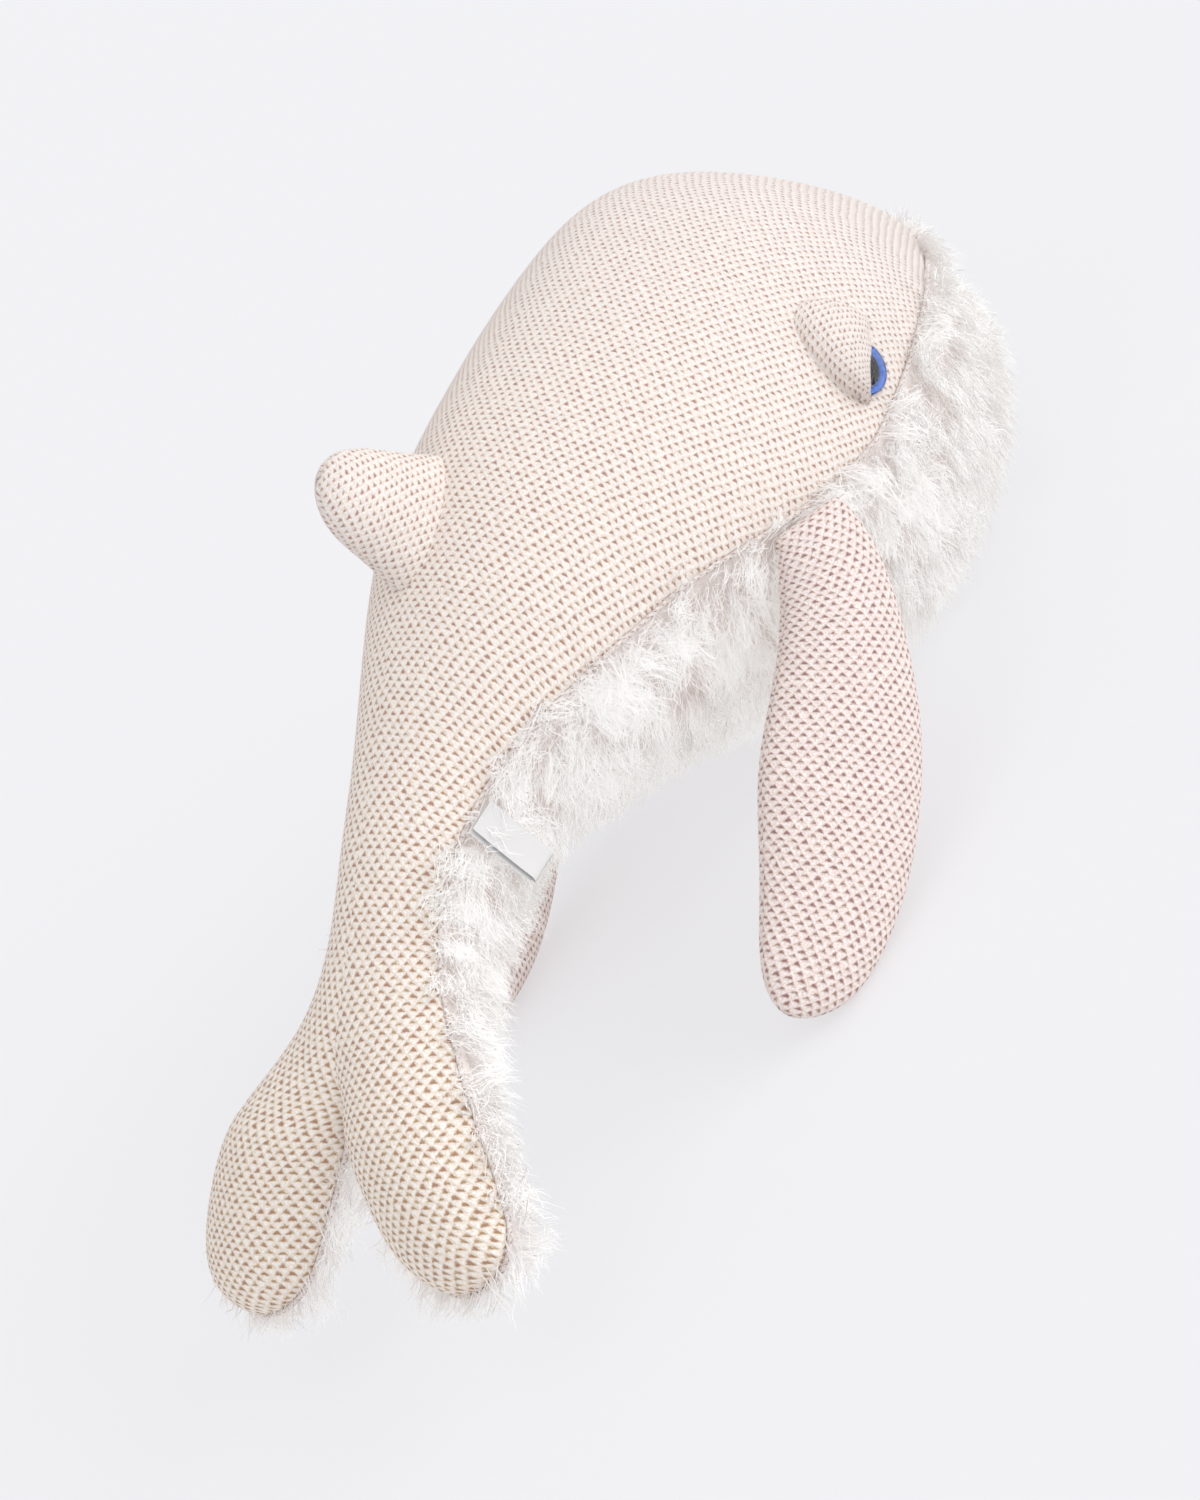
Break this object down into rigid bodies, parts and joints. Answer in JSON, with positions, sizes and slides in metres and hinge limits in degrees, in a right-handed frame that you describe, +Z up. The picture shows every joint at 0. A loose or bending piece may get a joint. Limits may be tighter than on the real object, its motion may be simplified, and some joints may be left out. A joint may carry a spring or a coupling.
{
  "type": "plush whale",
  "caption": "Stuffed toy whale lying on its belly, with knitted back, long-pile fur belly, bending tail and swinging sewn flippers.",
  "frame": {"origin": "centre of the bounding box's underside, on the floor that the belly lies on", "axes": "+X towards the head, +Z up, +Y to the whale's left"},
  "size_m": [0.5432, 0.2626, 0.2601],
  "materials": {
    "honeycomb_knit": "matte pale cream tuck knit",
    "long_pile_fur": "long off-white pile",
    "polyester_stuffing": "loose white fibre",
    "blue_iris": "glossy blue",
    "black_pupil": "glossy black",
    "clear_dome": "clear glossy dome",
    "white_washer": "matte white",
    "white_ribbon": "blank woven ribbon"
  },
  "bodies": {
    "body": {"back_panel_right": "honeycomb_knit", "back_panel_left": "honeycomb_knit", "belly_fur_panel": "long_pile_fur", "body_stuffing": "polyester_stuffing", "fin_panel_right": "honeycomb_knit", "fin_panel_left": "honeycomb_knit", "fin_stuffing": "polyester_stuffing", "eye_right_iris": "blue_iris", "eye_right_pupil_shank": "black_pupil", "eye_right_dome": "clear_dome", "eye_right_washer": "white_washer", "eyelid_right": "honeycomb_knit", "eye_left_iris": "blue_iris", "eye_left_pupil_shank": "black_pupil", "eye_left_dome": "clear_dome", "eye_left_washer": "white_washer", "eyelid_left": "honeycomb_knit"},
    "tail": {"tail_panel_right": "honeycomb_knit", "tail_panel_left": "honeycomb_knit", "fluke_panel_right": "honeycomb_knit", "fluke_panel_left": "honeycomb_knit", "tail_fur_panel_right": "long_pile_fur", "tail_fur_panel_left": "long_pile_fur", "fluke_fur_panel_right": "long_pile_fur", "fluke_fur_panel_left": "long_pile_fur", "tail_stuffing": "polyester_stuffing", "seam_label": "white_ribbon"},
    "flipper_right": {"flipper_right_outer": "honeycomb_knit", "flipper_right_inner": "honeycomb_knit", "flipper_right_stuffing": "polyester_stuffing"},
    "flipper_left": {"flipper_left_outer": "honeycomb_knit", "flipper_left_inner": "honeycomb_knit", "flipper_left_stuffing": "polyester_stuffing"}
  },
  "joints": [
    {"name": "tail_bend", "type": "hinge", "parent": "body", "child": "tail", "pos_m": [-0.0653, 0, 0.136], "axis": [0, 1, 0], "range_deg": [-12, 20]},
    {"name": "flipper_right_swing", "type": "hinge", "parent": "body", "child": "flipper_right", "pos_m": [0.0504, -0.1079, 0.1148], "axis": [-0.9443, 0.183, 0.2736], "range_deg": [0, 70]},
    {"name": "flipper_left_swing", "type": "hinge", "parent": "body", "child": "flipper_left", "pos_m": [0.0504, 0.1079, 0.1149], "axis": [0.9443, 0.183, -0.2736], "range_deg": [0, 70]}
  ]
}
